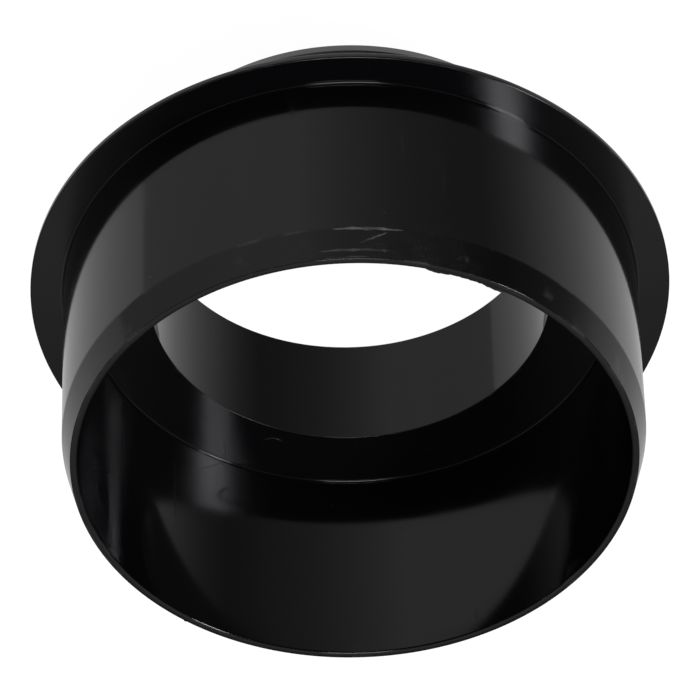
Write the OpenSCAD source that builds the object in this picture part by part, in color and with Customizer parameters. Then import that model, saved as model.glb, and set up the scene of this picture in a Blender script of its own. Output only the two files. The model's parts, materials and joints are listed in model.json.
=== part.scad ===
// Reducing drain flange: a large chamfered spigot and a smaller hub spigot on one axis,
// with a flat mounting ring between them.
// +Z runs along the bore, towards the mouth of the large spigot.
// The origin is the centre of the hub's end face, on which the part stands.

/* [Large spigot] */
// Outside diameter of the large spigot, a 4 in drain pipe size
spigot_od = 114.3; // [100:0.1:150]
// Height of the mouth above the flange's upper face
spigot_reach = 47.4; // [20:0.1:90]
// Wall at the mouth, measured before the lead-in is cut
mouth_wall = 3.1; // [2.5:0.05:6]
// Wall at the root, beside the web; the inside tapers between the two
root_wall = 4.15; // [3.3:0.05:8]
// Length of the lead-in cone along the axis
lead_in_run = 6.7; // [1:0.1:15]
// Amount by which the lead-in cone reduces the radius at the mouth
lead_in_drop = 1.65; // [0.3:0.05:2.2]

/* [Flange ring] */
// Distance that the ring stands out past the spigot
flange_lip = 6.65; // [2:0.05:30]
// Thickness of the ring
flange_t = 1.6; // [1:0.05:6]
// Width of the small bevel that breaks the ring's outer edges
flange_edge = 0.25; // [0.05:0.05:0.45]

/* [Web] */
// Thickness of the web that closes the step between the two spigots
web_t = 2.2; // [1.5:0.05:8]

/* [Hub] */
// Outside diameter of the hub spigot, a 3 in drain pipe size
hub_od = 88.9; // [60:0.1:96]
// Wall of the hub spigot; the waste bore is what it leaves
hub_wall = 4.45; // [2:0.05:8]
// Length of the hub spigot below the flange's lower face
hub_reach = 24; // [10:0.1:80]
// Length of the hub's lead-in cone along the axis
hub_lead_run = 2.2; // [0.5:0.1:8]
// Amount by which the hub's lead-in cone reduces the radius at its end
hub_lead_drop = 0.55; // [0.2:0.05:1.5]

/* [Cemented joints] */
// Radial clearance left for cement in each slip joint
slip = 0.1; // [0.05:0.01:0.2]
// Radial step on the spigot's foot that the flange ring stops against
ring_step = 0.65; // [0.4:0.05:0.9]
// Radial step inside the spigot's foot that the web stops against
web_step = 0.7; // [0.3:0.05:0.9]
// Radial step on the hub's upper end that stops against the web
hub_step = 0.85; // [0.4:0.05:1.2]
// Depth that the hub's upper end enters the web
hub_seat = 1; // [0.4:0.05:1.2]
// Leg of the cement bead between the spigot and the flange ring
flange_bead_leg = 0.7; // [0.3:0.05:1.5]
// Leg of the cement bead between the spigot and the web
web_bead_leg = 0.5; // [0.3:0.05:1.5]
// Leg of the cement bead between the hub and the web
hub_bead_leg = 0.7; // [0.3:0.05:1.5]
// Radial bevel cut on each outside wall, as high as its bead, to key the cement
bead_bevel = 0.25; // [0.1:0.05:0.3]
// Gap between a bead and the round wall beside it
bead_gap = 0.03; // [0.02:0.01:0.1]
// Thickness left at the two thin edges of a bead
bead_edge = 0.06; // [0.03:0.01:0.12]

/* [Hidden] */

// Number of facets on every round surface
$fn = 180;
// Straight steps in the hollow face of a bead
BEAD_STEPS = 6;

ABS_BLACK = [0.09, 0.09, 0.10];
ABS_WEB = [0.13, 0.13, 0.14];
ABS_HUB = [0.11, 0.11, 0.12];
CEMENT = [0.20, 0.20, 0.21];

// Heights above the hub's end face
foot_z = hub_reach;
flange_top_z = foot_z + flange_t;
web_top_z = foot_z + web_t;
mouth_z = flange_top_z + spigot_reach;
hub_top_z = foot_z + hub_seat;

// Radii of the spigot
spigot_r = spigot_od / 2;
mouth_r = spigot_r - mouth_wall;
root_r = spigot_r - root_wall;
foot_outer_r = spigot_r - ring_step;
foot_inner_r = root_r + web_step;

// Radii of the ring, the web and the hub
flange_r = spigot_r + flange_lip;
ring_bore_r = foot_outer_r + slip;
web_r = foot_inner_r - slip;
hub_r = hub_od / 2;
bore_r = hub_r - hub_wall;
hub_neck_r = hub_r - hub_step;
hub_socket_r = hub_neck_r + slip;

// Solid of revolution about the bore, from [radius, height] points
module turned(profile) {
    rotate_extrude()
        polygon(profile);
}

// Hollow-faced bead in the corner at [r, z]; out is 1 away from the axis and -1
// towards it, up is 1 above the corner's flat face and -1 below it, and bevel is how
// far the round wall is cut back at the flat face
module bead(r, z, leg, out, up, bevel) {
    hollow = leg - bead_edge;
    face = [for (i = [0 : BEAD_STEPS])
        let (a = 90 * i / BEAD_STEPS)
        [r + out * (leg - hollow * sin(a)), z + up * (leg - hollow * cos(a))]];
    turned(concat([[r - out * bevel, z], [r + out * leg, z]], face, [[r, z + up * leg]]));
}

// Large tube: lead-in cone outside, tapered inside, stepped foot for the ring and web
module spigot_tube() {
    color(ABS_BLACK)
        turned([
            [foot_inner_r, foot_z],
            [foot_outer_r, foot_z],
            [foot_outer_r, flange_top_z],
            [spigot_r - bead_bevel, flange_top_z],
            [spigot_r, flange_top_z + flange_bead_leg],
            [spigot_r, mouth_z - lead_in_run],
            [spigot_r - lead_in_drop, mouth_z],
            [mouth_r, mouth_z],
            [root_r, web_top_z],
            [foot_inner_r, web_top_z]
        ]);
}

// Flat ring on the spigot's foot, up against the outer step
module flange_ring() {
    color(ABS_BLACK)
        turned([
            [ring_bore_r, foot_z],
            [flange_r - flange_edge, foot_z],
            [flange_r, foot_z + flange_edge],
            [flange_r, flange_top_z - flange_edge],
            [flange_r - flange_edge, flange_top_z],
            [ring_bore_r, flange_top_z]
        ]);
}

// Disc inside the spigot's foot, up against the inner step, with a socket for the hub
module reducing_web() {
    color(ABS_WEB)
        turned([
            [hub_socket_r, foot_z],
            [web_r, foot_z],
            [web_r, web_top_z],
            [bore_r, web_top_z],
            [bore_r, hub_top_z],
            [hub_socket_r, hub_top_z]
        ]);
}

// Small tube below the web, with a turned-down neck in the web's socket
module hub_tube() {
    color(ABS_HUB)
        turned([
            [bore_r, 0],
            [hub_r - hub_lead_drop, 0],
            [hub_r, hub_lead_run],
            [hub_r, foot_z - hub_bead_leg],
            [hub_r - bead_bevel, foot_z],
            [hub_neck_r, foot_z],
            [hub_neck_r, hub_top_z],
            [bore_r, hub_top_z]
        ]);
}

// Cement bead outside the spigot, on the flange ring's upper face
module flange_bead() {
    color(CEMENT)
        bead(spigot_r + bead_gap, flange_top_z, flange_bead_leg, 1, 1, bead_bevel);
}

// Cement bead inside the spigot, on the web's upper face
module web_bead() {
    color(CEMENT)
        bead(root_r - bead_gap, web_top_z, web_bead_leg, -1, 1, 0);
}

// Cement bead around the hub, under the web's lower face
module hub_bead() {
    color(CEMENT)
        bead(hub_r + bead_gap, foot_z, hub_bead_leg, 1, -1, bead_bevel);
}

spigot_tube();
flange_ring();
reducing_web();
hub_tube();
flange_bead();
web_bead();
hub_bead();
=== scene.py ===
"""Reducing toilet flange: turned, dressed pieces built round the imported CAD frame."""

import json
import logging
import math
from dataclasses import dataclass, field
from enum import Enum

import bmesh
import bpy
from mathutils import Matrix, Vector


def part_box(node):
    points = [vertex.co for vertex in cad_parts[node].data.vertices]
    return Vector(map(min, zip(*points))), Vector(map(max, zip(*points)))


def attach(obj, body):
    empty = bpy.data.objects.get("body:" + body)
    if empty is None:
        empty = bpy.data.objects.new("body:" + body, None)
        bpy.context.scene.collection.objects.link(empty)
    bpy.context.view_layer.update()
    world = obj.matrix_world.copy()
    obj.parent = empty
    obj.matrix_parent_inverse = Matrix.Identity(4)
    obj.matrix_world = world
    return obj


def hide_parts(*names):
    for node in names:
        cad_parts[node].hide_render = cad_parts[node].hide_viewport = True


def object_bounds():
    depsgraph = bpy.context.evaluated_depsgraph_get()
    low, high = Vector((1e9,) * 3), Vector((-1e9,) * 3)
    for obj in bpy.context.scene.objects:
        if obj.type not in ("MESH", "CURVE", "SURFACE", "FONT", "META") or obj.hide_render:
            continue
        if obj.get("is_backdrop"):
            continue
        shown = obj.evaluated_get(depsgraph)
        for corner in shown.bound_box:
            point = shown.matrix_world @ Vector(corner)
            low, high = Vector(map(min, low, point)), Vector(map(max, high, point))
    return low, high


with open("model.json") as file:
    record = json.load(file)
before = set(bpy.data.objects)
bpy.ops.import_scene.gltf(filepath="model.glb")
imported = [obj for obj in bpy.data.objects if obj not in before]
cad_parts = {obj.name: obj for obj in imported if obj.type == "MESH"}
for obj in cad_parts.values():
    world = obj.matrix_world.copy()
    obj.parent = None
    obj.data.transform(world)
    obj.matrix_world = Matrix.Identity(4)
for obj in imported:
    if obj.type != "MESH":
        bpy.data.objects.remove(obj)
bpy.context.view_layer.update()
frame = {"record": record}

MM = 0.001
TURN = 2 * math.pi
SHARP = math.radians(40.0)
LOG = logging.getLogger("toilet_flange")


class Slot(Enum):
    """The record's material slots."""

    SPIGOT = "spigot_plastic"
    FLANGE = "flange_plastic"
    WEB = "web_plastic"
    HUB = "hub_plastic"
    CEMENT = "cement"


# ---------------------------------------------------------------- shader groups


class NodeSketch:
    """Short-hand for adding and joining shader nodes in one tree."""

    def __init__(self, tree: bpy.types.NodeTree) -> None:
        """Keep the tree.

        Args:
            tree: The node tree that new nodes go into.
        """
        self.tree = tree

    def add(self, kind: str, **settings: object) -> bpy.types.Node:
        """Add a node and set its properties.

        Args:
            kind: The node's type name without "ShaderNode".
            settings: Properties to set on the node.

        Returns:
            The new node.
        """
        node = self.tree.nodes.new("ShaderNode" + kind)
        for name, value in settings.items():
            setattr(node, name, value)
        return node

    def feed(self, socket: bpy.types.NodeSocket, value: object) -> None:
        """Join or set a socket.

        Args:
            socket: The input to fill.
            value: An output socket to link, or a plain value.
        """
        if isinstance(value, bpy.types.NodeSocket):
            self.tree.links.new(value, socket)
        else:
            socket.default_value = value

    def maths(self, operation: str, *values: object, clamp: bool = False) -> bpy.types.NodeSocket:
        """Add a Math node.

        Args:
            operation: The Math node's operation.
            values: Its inputs, as sockets or numbers.
            clamp: Whether the result stays between 0 and 1.

        Returns:
            The node's output.
        """
        node = self.add("Math", operation=operation, use_clamp=clamp)
        for socket, value in zip(node.inputs, values):
            self.feed(socket, value)
        return node.outputs[0]

    def ramp(self, value: object, low: float, high: float, smooth: bool = True) -> bpy.types.NodeSocket:
        """Turn the span low to high of a value into 0 to 1.

        Args:
            value: The value's socket.
            low: The value that gives 0.
            high: The value that gives 1.
            smooth: Whether the step eases in and out.

        Returns:
            The mapped value.
        """
        kind = "SMOOTHSTEP" if smooth else "LINEAR"
        node = self.add("MapRange", interpolation_type=kind, clamp=True)
        self.feed(node.inputs["Value"], value)
        node.inputs["From Min"].default_value = low
        node.inputs["From Max"].default_value = high
        return node.outputs["Result"]

    def noise(self, vector: object, scale: object, detail: float = 2.0) -> bpy.types.NodeSocket:
        """Add a Noise Texture.

        Args:
            vector: Where it is read.
            scale: Its scale, as a socket or a number.
            detail: How many octaves it has.

        Returns:
            Its grey value.
        """
        node = self.add("TexNoise")
        self.feed(node.inputs["Vector"], vector)
        self.feed(node.inputs["Scale"], scale)
        node.inputs["Detail"].default_value = detail
        return node.outputs["Fac"]

    def between(self, low: object, high: object, share: object) -> bpy.types.NodeSocket:
        """Mix two numbers.

        Args:
            low: The value where share is 0.
            high: The value where share is 1.
            share: How much of the second value is used.

        Returns:
            The mixed value.
        """
        node = self.add("Mix", data_type="FLOAT")
        self.feed(node.inputs["Factor"], share)
        self.feed(node.inputs[2], low)
        self.feed(node.inputs[3], high)
        return node.outputs[0]

    def stretched(self, vector: object, turn: tuple, scale: tuple) -> bpy.types.NodeSocket:
        """Turn and stretch a vector.

        Args:
            vector: The vector's socket.
            turn: Rotation in radians about x, y and z.
            scale: Stretch along x, y and z.

        Returns:
            The new vector.
        """
        node = self.add("Mapping")
        self.feed(node.inputs["Vector"], vector)
        node.inputs["Rotation"].default_value = turn
        node.inputs["Scale"].default_value = scale
        return node.outputs["Vector"]


class GroupKit:
    """The shared surface effects, each a shader node group that is built once."""

    def __init__(self) -> None:
        """Build every group."""
        self.skin = self._moulded_skin()
        self.hairlines = self._hairlines()
        self.dust = self._dust()
        self.handling = self._handling()
        self.ring_wear = self._ring_wear()
        self.rub_patch = self._rub_patch()

    @staticmethod
    def _start(name: str, numbers: dict, outputs: tuple) -> tuple:
        """Start a group with a Vector input.

        Args:
            name: The group's name.
            numbers: Its other inputs and their defaults.
            outputs: The names of its outputs.

        Returns:
            The tree, a sketch for it, its input node and its output node.
        """
        tree = bpy.data.node_groups.new(name, "ShaderNodeTree")
        tree.interface.new_socket("Vector", in_out="INPUT", socket_type="NodeSocketVector")
        for label, value in numbers.items():
            socket = tree.interface.new_socket(label, in_out="INPUT", socket_type="NodeSocketFloat")
            socket.default_value = value
        for label in outputs:
            tree.interface.new_socket(label, in_out="OUTPUT", socket_type="NodeSocketFloat")
        source = tree.nodes.new("NodeGroupInput")
        sink = tree.nodes.new("NodeGroupOutput")
        return tree, NodeSketch(tree), source, sink

    def _moulded_skin(self) -> bpy.types.NodeTree:
        """Sink ripple, orange peel and fine grain of a moulded wall.

        Returns:
            The group, whose Height is in metres.
        """
        inputs = {
            "Ripple Scale": 90.0, "Ripple Depth": 1e-6,
            "Peel Scale": 700.0, "Peel Depth": 1e-6,
            "Grain Scale": 4000.0, "Grain Depth": 1e-7,
        }
        tree, pen, source, sink = self._start("Moulded skin", inputs, ("Height",))
        total = 0.0
        for layer in ("Ripple", "Peel", "Grain"):
            grey = pen.noise(source.outputs["Vector"], source.outputs[layer + " Scale"])
            deep = pen.maths("MULTIPLY", grey, source.outputs[layer + " Depth"])
            total = pen.maths("ADD", deep, total)
        pen.feed(sink.inputs["Height"], total)
        return tree

    def _hairlines(self) -> bpy.types.NodeTree:
        """Fine scratches, most of them running round the part.

        Returns:
            The group, whose Mask is 1 on a scratch.
        """
        tree, pen, source, sink = self._start("Hairlines", {"Amount": 0.5, "Fineness": 1.0}, ("Mask",))
        lays = (
            ((0.0, 0.0, 0.0), (22.0, 22.0, 2600.0)),
            ((0.35, 0.0, 0.6), (40.0, 1900.0, 30.0)),
            ((0.0, 0.9, 0.2), (1700.0, 26.0, 44.0)),
        )
        limit = pen.maths("MULTIPLY_ADD", source.outputs["Amount"], -0.10, 0.76)
        mask = 0.0
        for turn, scale in lays:
            vector = pen.stretched(source.outputs["Vector"], turn, scale)
            grey = pen.noise(vector, source.outputs["Fineness"], 1.0)
            over = pen.maths("SUBTRACT", grey, limit)
            line = pen.maths("MULTIPLY", over, 14.0, clamp=True)
            mask = pen.maths("MAXIMUM", line, mask)
        patch = pen.ramp(pen.noise(source.outputs["Vector"], 38.0), 0.45, 0.62)
        pen.feed(sink.inputs["Mask"], pen.maths("MULTIPLY", mask, patch))
        return tree

    def _dust(self) -> bpy.types.NodeTree:
        """Sparse light specks of dust and lint.

        Returns:
            The group, whose Mask is 1 on a speck.
        """
        tree, pen, source, sink = self._start("Dust specks", {"Scale": 420.0, "Amount": 0.3}, ("Mask",))
        cells = pen.add("TexVoronoi", feature="F1")
        pen.feed(cells.inputs["Vector"], source.outputs["Vector"])
        pen.feed(cells.inputs["Scale"], source.outputs["Scale"])
        chance = pen.add("SeparateColor")
        pen.feed(chance.inputs[0], cells.outputs["Color"])
        reach = pen.maths("MULTIPLY_ADD", chance.outputs[1], 0.09, 0.03)
        near = pen.ramp(pen.maths("DIVIDE", cells.outputs["Distance"], reach), 1.0, 0.3)
        gate = pen.maths("SUBTRACT", 1.0, source.outputs["Amount"])
        picked = pen.maths("GREATER_THAN", chance.outputs[0], gate)
        pen.feed(sink.inputs["Mask"], pen.maths("MULTIPLY", near, picked))
        return tree

    def _handling(self) -> bpy.types.NodeTree:
        """Broad smears left by handling.

        Returns:
            The group, whose Mask runs from 0 on clean plastic to 1 in a smear.
        """
        tree, pen, source, sink = self._start("Handling smears", {"Scale": 26.0}, ("Mask",))
        vector = pen.stretched(source.outputs["Vector"], (0.3, 0.2, 0.5), (1.0, 1.0, 1.7))
        broad = pen.noise(vector, source.outputs["Scale"], 4.0)
        pen.feed(sink.inputs["Mask"], pen.ramp(broad, 0.42, 0.70))
        return tree

    def _ring_wear(self) -> bpy.types.NodeTree:
        """Broken, paler rubbing along one turned edge.

        Returns:
            The group, whose Mask is 1 on the rubbed edge.
        """
        inputs = {"Edge Radius": 0.05, "Edge Height": 0.0, "Width": 0.0003, "Amount": 0.5}
        tree, pen, source, sink = self._start("Edge wear", inputs, ("Mask",))
        axes = pen.add("SeparateXYZ")
        pen.feed(axes.inputs[0], source.outputs["Vector"])
        across = pen.maths("MULTIPLY", axes.outputs[0], axes.outputs[0])
        along = pen.maths("MULTIPLY", axes.outputs[1], axes.outputs[1])
        flat = pen.maths("SQRT", pen.maths("ADD", across, along))
        out = pen.maths("SUBTRACT", flat, source.outputs["Edge Radius"])
        rise = pen.maths("SUBTRACT", axes.outputs[2], source.outputs["Edge Height"])
        square = pen.maths("ADD", pen.maths("MULTIPLY", out, out), pen.maths("MULTIPLY", rise, rise))
        away = pen.maths("DIVIDE", pen.maths("SQRT", square), source.outputs["Width"])
        close = pen.maths("SUBTRACT", 1.0, away, clamp=True)
        worn = pen.noise(source.outputs["Vector"], 160.0, 4.0)
        limit = pen.maths("MULTIPLY_ADD", source.outputs["Amount"], -0.35, 0.72)
        broken = pen.maths("MULTIPLY", pen.maths("SUBTRACT", worn, limit), 9.0, clamp=True)
        pen.feed(sink.inputs["Mask"], pen.maths("MULTIPLY", close, broken))
        return tree


    def _rub_patch(self) -> bpy.types.NodeTree:
        """Speckled, dulled patch where the part was rubbed against something.

        Returns:
            The group, whose Mask is 1 where the skin is dulled.
        """
        inputs = {"Patch X": 0.0, "Patch Y": 0.0, "Patch Z": 0.0, "Size": 0.005, "Amount": 0.5}
        tree, pen, source, sink = self._start("Rubbed patch", inputs, ("Mask",))
        centre = pen.add("CombineXYZ")
        for axis, label in enumerate(("Patch X", "Patch Y", "Patch Z")):
            pen.feed(centre.inputs[axis], source.outputs[label])
        gap = pen.add("VectorMath", operation="DISTANCE")
        pen.feed(gap.inputs[0], source.outputs["Vector"])
        pen.feed(gap.inputs[1], centre.outputs[0])
        share = pen.maths("DIVIDE", gap.outputs["Value"], source.outputs["Size"])
        inside = pen.ramp(share, 1.0, 0.2)
        fine = pen.ramp(pen.noise(source.outputs["Vector"], 2600.0, 3.0), 0.40, 0.70)
        broad = pen.ramp(pen.noise(source.outputs["Vector"], 240.0, 4.0), 0.34, 0.62)
        speckle = pen.maths("MULTIPLY", fine, broad)
        mask = pen.maths("MULTIPLY", inside, speckle)
        pen.feed(sink.inputs["Mask"], pen.maths("MULTIPLY", mask, source.outputs["Amount"]))
        return tree


# ---------------------------------------------------------------- finishes


@dataclass(frozen=True)
class WornEdge:
    """A turned edge that shows rubbing: its radius, height and width in metres."""

    radius: float
    height: float
    width: float = 0.00045
    amount: float = 0.5


@dataclass(frozen=True)
class RubbedPatch:
    """A dulled patch: its centre, its size in metres and its strength."""

    centre: tuple
    size: float = 0.006
    amount: float = 0.6


@dataclass(frozen=True)
class GlossPlastic:
    """Black moulded plastic with orange peel, hairlines, dust and rubbed edges."""

    name: str
    body: tuple = (0.0024, 0.0024, 0.0029, 1.0)
    rubbed: tuple = (0.030, 0.030, 0.033, 1.0)
    speck: tuple = (0.020, 0.020, 0.021, 1.0)
    roughness: float = 0.085
    smear: float = 0.05
    ripple: tuple = (70.0, 3.0e-6)
    peel: tuple = (620.0, 0.9e-6)
    grain: tuple = (3800.0, 0.06e-6)
    scratches: float = 0.5
    dust: float = 0.05
    ior: float = 1.5

    def make(self, kit: GroupKit, edges: tuple = (), patches: tuple = ()) -> bpy.types.Material:
        """Build the material.

        Args:
            kit: The shared effects.
            edges: The WornEdge rings that this finish shows.
            patches: The RubbedPatch areas that this finish shows.

        Returns:
            The node material.
        """
        material = bpy.data.materials.new(self.name)
        material.use_nodes = True
        tree = material.node_tree
        pen = NodeSketch(tree)
        shader = tree.nodes["Principled BSDF"]
        shader.inputs["IOR"].default_value = self.ior
        place = pen.add("TexCoord").outputs["Object"]

        def effect(group: bpy.types.NodeTree, **values: float) -> bpy.types.NodeSocket:
            """Place a shared group with its own values and return its output."""
            node = pen.add("Group", node_tree=group)
            pen.feed(node.inputs["Vector"], place)
            for label, value in values.items():
                node.inputs[label.replace("_", " ")].default_value = value
            return node.outputs[0]

        height = effect(
            kit.skin, Ripple_Scale=self.ripple[0], Ripple_Depth=self.ripple[1],
            Peel_Scale=self.peel[0], Peel_Depth=self.peel[1],
            Grain_Scale=self.grain[0], Grain_Depth=self.grain[1],
        )
        lines = effect(kit.hairlines, Amount=self.scratches)
        dust = effect(kit.dust, Amount=self.dust)
        smear = effect(kit.handling)
        worn = 0.0
        for edge in edges:
            ring = effect(kit.ring_wear, Edge_Radius=edge.radius, Edge_Height=edge.height,
                          Width=edge.width, Amount=edge.amount)
            worn = pen.maths("MAXIMUM", ring, worn)
        for patch in patches:
            x, y, z = patch.centre
            spot = effect(kit.rub_patch, Patch_X=x, Patch_Y=y, Patch_Z=z, Size=patch.size,
                          Amount=patch.amount)
            worn = pen.maths("MAXIMUM", spot, worn)
        scuffed = pen.maths("MAXIMUM", pen.maths("MULTIPLY", lines, 0.06), worn)

        colour = self._blend(pen, self.body, self.rubbed, scuffed)
        colour = self._blend(pen, colour, self.speck, dust)
        rough = pen.maths("MULTIPLY_ADD", smear, self.smear, self.roughness)
        rough = pen.maths("MULTIPLY_ADD", lines, 0.10, rough)
        rough = pen.maths("MULTIPLY_ADD", dust, 0.40, rough)
        rough = pen.maths("MULTIPLY_ADD", worn, 0.25, rough, clamp=True)
        height = pen.maths("MULTIPLY_ADD", lines, -0.5e-6, height)
        height = pen.maths("MULTIPLY_ADD", dust, 0.8e-5, height)
        bump = pen.add("Bump")
        bump.inputs["Strength"].default_value = 1.0
        bump.inputs["Distance"].default_value = 1.0
        pen.feed(bump.inputs["Height"], height)
        pen.feed(shader.inputs["Base Color"], colour)
        pen.feed(shader.inputs["Roughness"], rough)
        pen.feed(shader.inputs["Normal"], bump.outputs["Normal"])
        return material

    @staticmethod
    def _blend(pen: NodeSketch, under: object, over: object, mask: object) -> bpy.types.NodeSocket:
        """Lay one colour over another.

        Args:
            pen: The sketch to add to.
            under: The colour below.
            over: The colour on top.
            mask: How much of the top colour shows.

        Returns:
            The mixed colour.
        """
        node = pen.add("Mix", data_type="RGBA")
        pen.feed(node.inputs["Factor"], mask)
        pen.feed(node.inputs[6], under)
        pen.feed(node.inputs[7], over)
        return node.outputs[2]


# ---------------------------------------------------------------- turning


@dataclass(frozen=True)
class Corner:
    """One point of a turned section: radius and height in metres, and its rounding."""

    radius: float
    height: float
    rounding: float = 0.0


class Lathe:
    """Makes closed pieces by spinning a section about the bore."""

    steps: int = 256

    @classmethod
    def turn(cls, name: str, section: list) -> bpy.types.Object:
        """Round the corners of a section and spin it.

        Args:
            name: The piece's name.
            section: The Corner points, in order round the section.

        Returns:
            The finished piece.
        """
        bm = bmesh.new()
        points = [bm.verts.new((c.radius, 0.0, c.height)) for c in section]
        face = bm.faces.new(points)
        for point, corner in list(zip(points, section)):
            if corner.rounding > 0:
                bmesh.ops.bevel(
                    bm, geom=[point], offset=corner.rounding, offset_type="OFFSET",
                    affect="VERTICES", segments=4, profile=0.5, material=-1, clamp_overlap=True,
                )
        bmesh.ops.delete(bm, geom=list(bm.faces), context="FACES_ONLY")
        bmesh.ops.spin(
            bm, geom=bm.verts[:] + bm.edges[:], cent=(0, 0, 0), axis=(0, 0, 1),
            dvec=(0, 0, 0), angle=TURN, steps=cls.steps, use_merge=True, use_duplicate=False,
        )
        return cls.finish(name, bm)

    @staticmethod
    def finish(name: str, bm: bmesh.types.BMesh, merge: float = 1e-7) -> bpy.types.Object:
        """Merge doubles, turn faces outward and make the object.

        Args:
            name: The piece's name.
            bm: The mesh, which is freed.
            merge: The distance within which vertices are one.

        Returns:
            The linked object, shaded smooth with weighted normals.
        """
        bmesh.ops.remove_doubles(bm, verts=bm.verts[:], dist=merge)
        bmesh.ops.recalc_face_normals(bm, faces=bm.faces[:])
        for face in bm.faces:
            face.smooth = True
        for edge in bm.edges:
            edge.smooth = edge.calc_face_angle(0.0) < SHARP
        mesh = bpy.data.meshes.new(name)
        bm.to_mesh(mesh)
        bm.free()
        piece = bpy.data.objects.new(name, mesh)
        bpy.context.collection.objects.link(piece)
        weigh = piece.modifiers.new("flat faces lead", "WEIGHTED_NORMAL")
        weigh.weight = 100
        weigh.keep_sharp = True
        return piece


@dataclass
class SubAssembly:
    """What every sub-assembly shares: how a finished piece joins the frame."""

    made: list = field(default_factory=list)

    def fit(self, piece: bpy.types.Object, material: bpy.types.Material, slot: Slot, *nodes: str) -> None:
        """Dress a piece, put it on its body, and report it.

        Args:
            piece: The finished piece.
            material: Its material.
            slot: The record's slot that it takes its finish from; not used.
            nodes: The CAD nodes that it stands for.
        """
        piece.data.materials.append(material)
        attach(piece, "root")
        if nodes:
            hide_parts(*nodes)
        self.made.append(piece)
        LOG.info("%s: %d faces", piece.name, len(piece.data.polygons))


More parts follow.
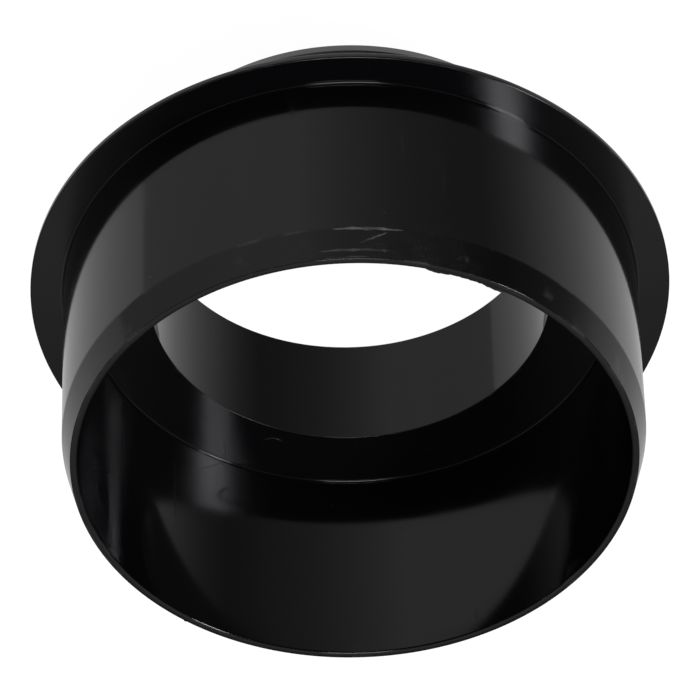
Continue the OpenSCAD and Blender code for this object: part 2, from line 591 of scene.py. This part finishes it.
@dataclass
class Spigot(SubAssembly):
    """The large tube, its trimmed mouth and the marks on its rim."""

    mouth_wall: float = 3.1 * MM
    root_wall: float = 4.15 * MM
    lead_in_run: float = 6.7 * MM
    lead_in_drop: float = 1.65 * MM
    ring_step: float = 0.65 * MM
    web_step: float = 0.7 * MM
    bevel_out: float = 0.25 * MM
    bevel_up: float = 0.7 * MM
    rim_round: float = 0.13 * MM
    lip_round: float = 0.34 * MM
    cone_round: float = 0.35 * MM

    def __post_init__(self) -> None:
        """Read the tube's heights and radii from the frame."""
        low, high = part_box("spigot_tube")
        self.outer = high.x
        self.foot = low.z
        self.mouth = high.z
        self.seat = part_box("flange_ring")[1].z
        self.web_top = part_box("reducing_web")[1].z
        self.bore = self.outer - self.mouth_wall
        self.root = self.outer - self.root_wall
        self.cone_start = self.mouth - self.lead_in_run
        self.rim = self.outer - self.lead_in_drop

    def build(self, kit: GroupKit) -> None:
        """Make the tube and the small marks on it.

        Args:
            kit: The shared surface effects.
        """
        edges = (
            WornEdge(self.rim, self.mouth, 0.0006, 0.55),
            WornEdge(self.outer, self.cone_start, 0.0005, 0.45),
            WornEdge(self.bore, self.mouth, 0.0004, 0.40),
            WornEdge(self.rim + 0.6 * MM, self.mouth - 2.4 * MM, 0.0030, 0.30),
        )
        patches = (
            RubbedPatch((12.8 * MM, 54.4 * MM, 71.2 * MM), 0.0065, 0.45),
            RubbedPatch((6.0 * MM, 55.6 * MM, 69.0 * MM), 0.0060, 0.35),
            RubbedPatch((22.0 * MM, 51.0 * MM, 70.0 * MM), 0.0060, 0.25),
            RubbedPatch((-9.0 * MM, 55.0 * MM, 72.0 * MM), 0.0060, 0.25),
        )
        plastic = GlossPlastic("spigot gloss black").make(kit, edges, patches)
        self.fit(self.tube(), plastic, Slot.SPIGOT, "spigot_tube")
        self.fit(self.flash(), plastic, Slot.SPIGOT)
        self.fit(self.nub(), plastic, Slot.SPIGOT)
        # Painted highlight: this pale body, paler again at the cone's start, stands in for the glints
        # along the top of the lead-in cone. It goes on the raised ridges and the dot below.
        rubbed = GlossPlastic(
            "rubbed black", body=(0.026, 0.026, 0.028, 1.0), rubbed=(0.10, 0.10, 0.105, 1.0),
            roughness=0.38, peel=(2200.0, 4e-6), scratches=1.0,
        ).make(kit, (WornEdge(self.outer, self.cone_start, 0.008, 0.9),))
        for rub in self.glint_rubs() + [self.dot()]:
            self.fit(rub, rubbed, Slot.SPIGOT)

    def tube(self) -> bpy.types.Object:
        """Turn the tube with its lead-in cone, tapered inside and stepped foot.

        Returns:
            The tube.
        """
        return Lathe.turn("spigot_wall", [
            Corner(self.root + self.web_step, self.foot, 0.1 * MM),
            Corner(self.outer - self.ring_step, self.foot, 0.1 * MM),
            Corner(self.outer - self.ring_step, self.seat),
            Corner(self.outer - self.bevel_out, self.seat),
            Corner(self.outer, self.seat + self.bevel_up, 0.15 * MM),
            Corner(self.outer, self.cone_start, self.cone_round),
            Corner(self.rim, self.mouth, self.rim_round),
            Corner(self.bore, self.mouth, self.lip_round),
            Corner(self.root, self.web_top, 0.0),
            Corner(self.root + self.web_step, self.web_top, 0.0),
        ])

    def flash(self) -> bpy.types.Object:
        """Ragged sliver left by trimming along the mouth's inner lip.

        Returns:
            The sliver.
        """
        start, sweep, steps = math.radians(57.0), math.radians(17.5), 70
        thick, deepest = 0.16 * MM, 0.42 * MM
        bm = bmesh.new()
        lip = self.bore + 0.25 * MM
        top = self.mouth - 0.06 * MM
        place = Matrix.Rotation(start, 3, "Z")
        ends = [bm.verts.new(place @ Vector((r, 0.0, top))) for r in (lip, self.bore)]
        edge = bm.edges.new(ends)
        bmesh.ops.spin(
            bm, geom=ends + [edge], cent=(0, 0, 0), axis=(0, 0, 1), dvec=(0, 0, 0),
            angle=sweep, steps=steps, use_merge=False, use_duplicate=False,
        )
        for vert in bm.verts:
            if math.hypot(vert.co.x, vert.co.y) > self.bore + 0.1 * MM:
                continue
            along = (math.atan2(vert.co.y, vert.co.x) - start) / sweep
            tooth = max(0.0, math.sin(along * 2.6 * math.pi + 0.7)) ** 0.7
            fine = 0.10 * math.sin(along * 61.0) + 0.07 * math.sin(along * 113.0 + 1.0)
            ends_off = min(1.0, along / 0.05, (1.0 - along) / 0.10)
            reach = deepest * max(0.03, ends_off * (0.25 + 0.75 * tooth + fine))
            shrink = 1.0 - reach / self.bore
            vert.co.x *= shrink
            vert.co.y *= shrink
        bmesh.ops.recalc_face_normals(bm, faces=bm.faces[:])
        bmesh.ops.solidify(bm, geom=bm.faces[:], thickness=thick)
        return Lathe.finish("mouth_trim_flash", bm)

    def nub(self) -> bpy.types.Object:
        """Tiny pip left on the rim's outer edge.

        Returns:
            The pip.
        """
        bm = bmesh.new()
        bmesh.ops.create_icosphere(bm, subdivisions=3, radius=0.26 * MM)
        angle = math.radians(231.5)
        out = self.rim + 0.02 * MM
        bmesh.ops.scale(bm, vec=(0.9, 1.5, 0.8), verts=bm.verts[:])
        bmesh.ops.rotate(bm, cent=(0, 0, 0), matrix=Matrix.Rotation(angle, 3, "Z"), verts=bm.verts[:])
        bmesh.ops.translate(
            bm, vec=(out * math.cos(angle), out * math.sin(angle), self.mouth - 0.24 * MM),
            verts=bm.verts[:],
        )
        return Lathe.finish("rim_pip", bm)

    def wall_radius(self, height: float) -> float:
        """Radius of the outside at a height, on the wall or on the lead-in cone."""
        past = max(0.0, height - self.cone_start)
        return self.outer - past * self.lead_in_drop / self.lead_in_run

    def glint_rubs(self) -> list:
        """Slightly raised ridges on the lead-in cone, which build colours pale as a painted highlight.

        Returns:
            The ridges.
        """
        rows = (
            ("lead_in_rub", (93.0, 66.4), (79.5, 66.45), 0.40),
            ("rim_rub", (96.0, 71.1), (82.0, 71.1), 0.36),
            ("slant_rub", (87.8, 69.6), (82.6, 67.2), 0.30),
            ("short_rub", (90.8, 72.6), (86.0, 72.6), 0.22),
        )
        return [self._rub(*row) for row in rows]

    def _rub(self, name: str, start: tuple, end: tuple, half: float) -> bpy.types.Object:
        """Spin one thin flat ridge along the cone, tapering to nothing at both ends.

        Args:
            name: The ridge's name.
            start: Its first end, as an angle in degrees and a height in millimetres.
            end: Its other end.
            half: Half its width, in millimetres.

        Returns:
            The ridge.
        """
        bm = bmesh.new()
        ring = bmesh.ops.create_circle(bm, cap_ends=True, segments=12, radius=half * MM)["verts"]
        bmesh.ops.rotate(bm, cent=(0, 0, 0), matrix=Matrix.Rotation(math.pi / 2, 3, "X"), verts=ring)
        bmesh.ops.scale(bm, vec=(0.16, 1.0, 1.0), verts=ring)
        lean = -math.atan2(self.lead_in_drop, self.lead_in_run)
        bmesh.ops.rotate(bm, cent=(0, 0, 0), matrix=Matrix.Rotation(lean, 3, "Y"), verts=ring)
        base = 50.0 * MM
        bmesh.ops.translate(bm, vec=(base, 0.0, 0.0), verts=ring)
        first, sweep = math.radians(start[0]), math.radians(end[0] - start[0])
        bmesh.ops.rotate(bm, cent=(0, 0, 0), matrix=Matrix.Rotation(first, 3, "Z"), verts=ring)
        bmesh.ops.spin(
            bm, geom=bm.faces[:] + bm.edges[:] + bm.verts[:], cent=(0, 0, 0), axis=(0, 0, 1),
            dvec=(0, 0, 0), angle=sweep, steps=48, use_merge=False, use_duplicate=False,
        )
        for vert in bm.verts:
            angle = math.atan2(vert.co.y, vert.co.x)
            share = min(1.0, max(0.0, (angle - first) / sweep))
            height = (start[1] + share * (end[1] - start[1])) * MM + 0.04 * MM * math.sin(share * 17.0)
            fat = max(0.05, math.sin(math.pi * share)) ** 0.6
            fat *= 0.75 + 0.18 * math.sin(share * 29.0) + 0.07 * math.sin(share * 71.0)
            radius = self.wall_radius(height) - 0.008 * MM
            out = Vector((math.cos(angle), math.sin(angle), 0.0))
            offset = vert.co - out * base
            vert.co = out * radius + Vector((0, 0, height)) + offset * fat
        return Lathe.finish(name, bm)

    def dot(self) -> bpy.types.Object:
        """Small flattened raised blob at the end of the ridge on the rim, coloured pale in build as a
        painted highlight.

        Returns:
            The dot.
        """
        bm = bmesh.new()
        bmesh.ops.create_icosphere(bm, subdivisions=3, radius=0.46 * MM)
        bmesh.ops.scale(bm, vec=(0.25, 1.0, 0.8), verts=bm.verts[:])
        angle, height = math.radians(83.2), 71.2 * MM
        bmesh.ops.rotate(bm, cent=(0, 0, 0), matrix=Matrix.Rotation(angle, 3, "Z"), verts=bm.verts[:])
        out = self.wall_radius(height)
        place = (out * math.cos(angle), out * math.sin(angle), height)
        bmesh.ops.translate(bm, vec=place, verts=bm.verts[:])
        return Lathe.finish("rim_dot", bm)


@dataclass
class FlangeRing(SubAssembly):
    """The flat ring; its bead is made with the other cement beads."""

    slip: float = 0.1 * MM
    ring_step: float = 0.65 * MM
    edge_round: float = 0.28 * MM
    edge_lean: float = 0.12 * MM
    draft: float = 0.16 * MM

    def build(self, kit: GroupKit) -> None:
        """Make the ring.

        Args:
            kit: The shared surface effects.
        """
        low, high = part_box("flange_ring")
        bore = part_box("spigot_tube")[1].x - self.ring_step + self.slip
        ring = Lathe.turn("flange_disc", [
            Corner(bore, low.z, 0.05 * MM),
            Corner(high.x - self.edge_lean, low.z, self.edge_round),
            Corner(high.x, high.z - self.draft, self.edge_round),
            Corner(bore, high.z, 0.05 * MM),
        ])
        edges = (WornEdge(high.x, high.z, 0.0005, 0.5), WornEdge(high.x, low.z, 0.0005, 0.6))
        plastic = GlossPlastic("flange gloss black", roughness=0.17).make(kit, edges)
        self.fit(ring, plastic, Slot.FLANGE, "flange_ring")


@dataclass
class ReducingWeb(SubAssembly):
    """The disc between the two tubes and the ejector mark on it."""

    root_wall: float = 4.15 * MM
    web_step: float = 0.7 * MM
    slip: float = 0.1 * MM
    hub_step: float = 0.85 * MM
    bore_round: float = 0.13 * MM
    mark_radius: float = 2.6 * MM

    def build(self, kit: GroupKit) -> None:
        """Make the web and its mark.

        Args:
            kit: The shared surface effects.
        """
        low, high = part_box("reducing_web")
        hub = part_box("hub_tube")
        bore = frame_bore_radius()
        socket = hub[1].x - self.hub_step + self.slip
        web = Lathe.turn("shoulder_web", [
            Corner(socket, low.z, 0.05 * MM),
            Corner(high.x, low.z, 0.05 * MM),
            Corner(high.x, high.z),
            Corner(bore, high.z, self.bore_round),
            Corner(bore, hub[1].z),
            Corner(socket, hub[1].z),
        ])
        bore_gloss = GlossPlastic("web bore gloss black", roughness=0.06, smear=0.03).make(kit)
        satin = GlossPlastic(
            "web satin black", roughness=0.20, peel=(900.0, 2.6e-6), ripple=(80.0, 5e-6), dust=0.03,
        ).make(kit, (WornEdge(bore, high.z, 0.0004, 0.5),))
        self.fit(web, satin, Slot.WEB, "reducing_web")
        web.data.materials.append(bore_gloss)
        for face in web.data.polygons:
            if math.hypot(face.center.x, face.center.y) < bore + 0.02 * MM:
                face.material_index = 1
        self.fit(self.ejector_mark(high.z), satin, Slot.WEB)

    def ejector_mark(self, top: float) -> bpy.types.Object:
        """Part of a raised witness ring left by an ejector pin.

        Args:
            top: The height of the web's upper face.

        Returns:
            The witness ring.
        """
        bm = bmesh.new()
        ring = bmesh.ops.create_circle(bm, cap_ends=True, segments=10, radius=0.16 * MM)["verts"]
        bmesh.ops.rotate(bm, cent=(0, 0, 0), matrix=Matrix.Rotation(math.pi / 2, 3, "X"), verts=ring)
        bmesh.ops.translate(bm, vec=(self.mark_radius, 0.0, top + 0.01 * MM), verts=ring)
        bmesh.ops.rotate(bm, cent=(0, 0, 0), matrix=Matrix.Rotation(math.radians(20), 3, "Z"), verts=ring)
        bmesh.ops.spin(
            bm, geom=bm.faces[:] + bm.edges[:] + bm.verts[:], cent=(0, 0, 0), axis=(0, 0, 1),
            dvec=(0, 0, 0), angle=math.radians(150), steps=28, use_merge=False, use_duplicate=False,
        )
        bmesh.ops.translate(bm, vec=(-16.8 * MM, -42.2 * MM, 0.0), verts=bm.verts[:])
        return Lathe.finish("ejector_witness", bm)


@dataclass
class Hub(SubAssembly):
    """The small tube below the web."""

    lead_run: float = 2.2 * MM
    lead_drop: float = 0.55 * MM
    step: float = 0.85 * MM
    bevel_out: float = 0.25 * MM
    bevel_up: float = 0.7 * MM
    end_round: float = 0.2 * MM

    def build(self, kit: GroupKit) -> None:
        """Make the hub tube.

        Args:
            kit: The shared surface effects.
        """
        low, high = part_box("hub_tube")
        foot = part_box("reducing_web")[0].z
        bore = frame_bore_radius()
        tube = Lathe.turn("hub_wall", [
            Corner(bore, low.z, self.end_round),
            Corner(high.x - self.lead_drop, low.z, self.end_round),
            Corner(high.x, low.z + self.lead_run, self.end_round),
            Corner(high.x, foot - self.bevel_up, 0.1 * MM),
            Corner(high.x - self.bevel_out, foot),
            Corner(high.x - self.step, foot),
            Corner(high.x - self.step, high.z),
            Corner(bore, high.z),
        ])
        edges = (
            WornEdge(high.x - self.lead_drop, low.z, 0.0006, 0.55),
            WornEdge(bore, low.z, 0.0005, 0.5),
            WornEdge(high.x, low.z + self.lead_run, 0.0004, 0.4),
        )
        plastic = GlossPlastic("hub gloss black", roughness=0.06, smear=0.03).make(kit, edges)
        self.fit(tube, plastic, Slot.HUB, "hub_tube")


@dataclass
class CementBeads(SubAssembly):
    """The three hollow-faced beads that cover the joints' corners."""

    edge: float = 0.06 * MM
    hollow: float = 0.22 * MM
    bevel: float = 0.25 * MM

    def build(self, kit: GroupKit) -> None:
        """Make each bead.

        Args:
            kit: The shared surface effects.
        """
        gloss = GlossPlastic("cement gloss black", roughness=0.07, scratches=0.0, dust=0.04,
                             peel=(500.0, 2.4e-6)).make(kit)
        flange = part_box("flange_bead")
        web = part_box("web_bead")
        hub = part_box("hub_bead")
        rows = (
            ("flange_cement", "flange_bead", flange[1].x, flange[0].z, flange[1].z, 1, self.bevel),
            ("hub_cement", "hub_bead", hub[1].x, hub[1].z, hub[0].z, 1, self.bevel),
            ("web_cement", "web_bead", web[1].x, web[0].z, web[1].z, -1, 0.0),
        )
        for name, node, reach, base, tip, out, bevel in rows:
            self.fit(self.bead(name, reach, base, tip, out, bevel), gloss, Slot.CEMENT, node)

    def bead(self, name: str, reach: float, base: float, tip: float, out: int,
             bevel: float) -> bpy.types.Object:
        """Turn one bead.

        Args:
            name: The bead's name.
            reach: The bead's outermost radius.
            base: The height of the flat face that it lies on.
            tip: The height of its thin edge on the round wall.
            out: 1 where it points away from the axis, -1 where it points in.
            bevel: How far the round wall is cut back under it.

        Returns:
            The bead.
        """
        leg = abs(tip - base)
        up = 1 if tip > base else -1
        wall = reach - leg if out > 0 else reach
        film = self.edge
        return Lathe.turn(name, [
            Corner(wall - out * bevel, base),
            Corner(wall + out * leg, base),
            Corner(wall + out * leg, base + up * film, 0.5 * film),
            Corner(wall + out * film, base + up * film, self.hollow),
            Corner(wall + out * film, tip, 0.5 * film),
            Corner(wall, tip),
        ])


def frame_bore_radius() -> float:
    """Radius of the waste bore, from the record's bore mount or the hub's known wall."""
    for mount in frame["record"].get("mounts", []):
        if "bore" in str(mount.get("name", "")) and mount.get("radius"):
            return float(mount["radius"])
    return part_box("hub_tube")[1].x - 4.45 * MM


# ---------------------------------------------------------------- studio


@dataclass
class Studio:
    """Floor, soft lights and camera."""

    floor_half: float = 12.0
    floor_glow: float = 0.97
    sky: float = 0.42
    low_sky: float = 0.10
    front_sky: float = 0.06
    below: float = 0.95
    paper: tuple = (
        (-178.0, 0.48), (-130.0, 0.60), (-46.0, 0.62), (-24.0, 0.52), (-4.5, 0.38), (12.0, 0.27),
        (24.0, 0.17), (34.0, 0.105), (46.0, 0.11), (70.0, 0.18), (90.0, 0.29), (110.0, 0.43),
        (131.0, 0.41), (153.0, 0.35), (175.0, 0.29),
    )
    side_light: float = 44.0
    top_light: float = 14.0
    aim_height: float = 0.5677
    distance: float = 1.40894
    elevation: float = 45.355
    tilt: float = -1.573
    lens: float = 366.0

    def build(self) -> None:
        """Set the stage."""
        self.floor()
        self.world()
        self.softbox("side softbox", (24.0, 46.0, 0.8), (0.13, 0.12), self.side_light)
        self.softbox("top softbox", (88.0, 80.0, 1.1), (0.22, 0.22), self.top_light)
        self.camera()
        view = bpy.context.scene.view_settings
        view.view_transform = "Standard"

    def floor(self) -> None:
        """Lay a pale floor that renders white and keeps the part's shadow."""
        bm = bmesh.new()
        bmesh.ops.create_grid(bm, x_segments=1, y_segments=1, size=self.floor_half)
        bmesh.ops.translate(bm, vec=(0, 0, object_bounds()[0].z - 0.02 * MM), verts=bm.verts[:])
        mesh = bpy.data.meshes.new("floor")
        bm.to_mesh(mesh)
        bm.free()
        floor = bpy.data.objects.new("floor", mesh)
        bpy.context.collection.objects.link(floor)
        floor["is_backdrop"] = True
        material = bpy.data.materials.new("pale floor")
        material.use_nodes = True
        tree = material.node_tree
        tree.nodes.clear()
        pen = NodeSketch(tree)
        paint = pen.add("BsdfDiffuse")
        paint.inputs["Color"].default_value = (0.8, 0.8, 0.8, 1.0)
        shade = pen.add("BsdfDiffuse")
        shade.inputs["Color"].default_value = (0.14, 0.14, 0.14, 1.0)
        glow = pen.add("Emission")
        glow.inputs["Strength"].default_value = self.floor_glow
        white = pen.add("AddShader")
        pen.feed(white.inputs[0], glow.outputs[0])
        pen.feed(white.inputs[1], shade.outputs[0])
        path = pen.add("LightPath")
        pick = pen.add("MixShader")
        pen.feed(pick.inputs[0], path.outputs["Is Camera Ray"])
        pen.feed(pick.inputs[1], paint.outputs[0])
        pen.feed(pick.inputs[2], white.outputs[0])
        out = pen.add("OutputMaterial")
        pen.feed(out.inputs["Surface"], pick.outputs[0])
        floor.data.materials.append(material)
        floor.visible_glossy = False

    def world(self) -> None:
        """Light everything evenly: white behind, and an uneven pale room in the gloss."""
        world = bpy.data.worlds.new("soft room")
        bpy.context.scene.world = world
        world.use_nodes = True
        tree = world.node_tree
        pen = NodeSketch(tree)
        back = tree.nodes["Background"]
        back.inputs["Color"].default_value = (1.0, 1.0, 1.0, 1.0)
        path = pen.add("LightPath")
        mirrored = path.outputs["Is Glossy Ray"]
        plain = pen.maths("MULTIPLY_ADD", path.outputs["Is Camera Ray"], 1.0 - self.sky, self.sky)
        pen.feed(back.inputs["Strength"], pen.between(plain, self.mirrored_room(pen), mirrored))

    def mirrored_room(self, pen: NodeSketch) -> bpy.types.NodeSocket:
        """How bright the room looks in the gloss, direction by direction.

        Args:
            pen: The sketch of the world's tree.

        Returns:
            The strength, where 1 is white.
        """
        way = pen.add("TexCoord").outputs["Generated"]
        axes = pen.add("SeparateXYZ")
        pen.feed(axes.inputs[0], way)
        _, forth, rise = axes.outputs
        around = pen.add("TexGradient", gradient_type="RADIAL")
        pen.feed(around.inputs["Vector"], way)
        ramp = pen.add("ValToRGB")
        pen.feed(ramp.inputs[0], around.outputs["Fac"])
        ramp.color_ramp.interpolation = "LINEAR"
        stops = ramp.color_ramp.elements
        stops.remove(stops[-1])
        stops[0].position = 0.0
        stops[0].color = (self.paper[0][1],) * 3 + (1.0,)
        for degrees, grey in self.paper:
            stops.new(degrees / 360.0 + 0.5).color = (grey, grey, grey, 1.0)
        paper = ramp.outputs["Color"]
        lift, turn = math.radians(-17.0), math.radians(24.0)
        dark = Vector((math.cos(turn) * math.cos(lift), math.sin(turn) * math.cos(lift), math.sin(lift)))
        dot = pen.add("VectorMath", operation="DOT_PRODUCT")
        pen.feed(dot.inputs[0], way)
        dot.inputs[1].default_value = dark
        doorway = pen.ramp(dot.outputs["Value"], math.cos(math.radians(34.0)), math.cos(math.radians(8.0)))
        paper = pen.maths("MULTIPLY", paper, pen.maths("MULTIPLY_ADD", doorway, -0.60, 1.0))
        paper = pen.between(paper, self.below, pen.ramp(rise, -0.76, -0.93))
        behind = pen.between(self.low_sky, self.sky, pen.ramp(rise, 0.682, 0.706))
        upper = pen.between(behind, self.front_sky, pen.ramp(forth, -0.15, 0.30))
        return pen.between(paper, upper, pen.ramp(rise, -0.12, 0.05))

    @staticmethod
    def softbox(name: str, place: tuple, size: tuple, radiance: float) -> None:
        """Hang an oblong soft light that faces the part.

        Args:
            name: The light's name.
            place: Degrees from +X towards +Y, degrees above the floor, and metres away.
            size: Its width and height, in metres.
            radiance: Brightness of its face, where 1 is white.
        """
        azimuth, elevation, away = place
        lamp = bpy.data.lights.new(name, "AREA")
        lamp.shape = "RECTANGLE"
        lamp.size, lamp.size_y = size
        lamp.energy = radiance * math.pi * size[0] * size[1]
        lamp.color = (0.95, 0.93, 1.0)
        turn, lift = math.radians(azimuth), math.radians(elevation)
        out = Vector((math.cos(turn) * math.cos(lift), math.sin(turn) * math.cos(lift), math.sin(lift)))
        holder = bpy.data.objects.new(name, lamp)
        holder.location = out * away
        holder.rotation_mode = "QUATERNION"
        holder.rotation_quaternion = out.to_track_quat("Z", "Y")
        bpy.context.collection.objects.link(holder)

    def camera(self) -> None:
        """Place the camera above the +Y side, turned so that the mouth hangs below the flange."""
        lift = math.radians(self.elevation)
        low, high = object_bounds()
        target = Vector((-0.33 * MM, 0.0, low.z + self.aim_height * (high.z - low.z)))
        back = Vector((0.0, math.cos(lift), math.sin(lift)))
        side = (-back).cross(Vector((0, 1, 0))).normalized()
        rise = side.cross(-back).normalized()
        roll = math.radians(self.tilt)
        right = side * math.cos(roll) + rise * math.sin(roll)
        up = rise * math.cos(roll) - side * math.sin(roll)
        lens = bpy.data.cameras.new("camera")
        lens.lens = self.lens
        lens.sensor_width = 36.0
        lens.clip_start, lens.clip_end = 0.05, 50.0
        camera = bpy.data.objects.new("camera", lens)
        turn = Matrix((right, up, back)).transposed()
        camera.matrix_world = Matrix.Translation(target + back * self.distance) @ turn.to_4x4()
        bpy.context.collection.objects.link(camera)
        bpy.context.scene.camera = camera


def main() -> None:
    """Build the studio and every sub-assembly."""
    logging.basicConfig(level=logging.INFO, format="%(name)s %(message)s")
    Studio().build()
    kit = GroupKit()
    for part in (Spigot(), FlangeRing(), ReducingWeb(), Hub(), CementBeads()):
        part.build(kit)


if __name__ == "__main__":
    main()
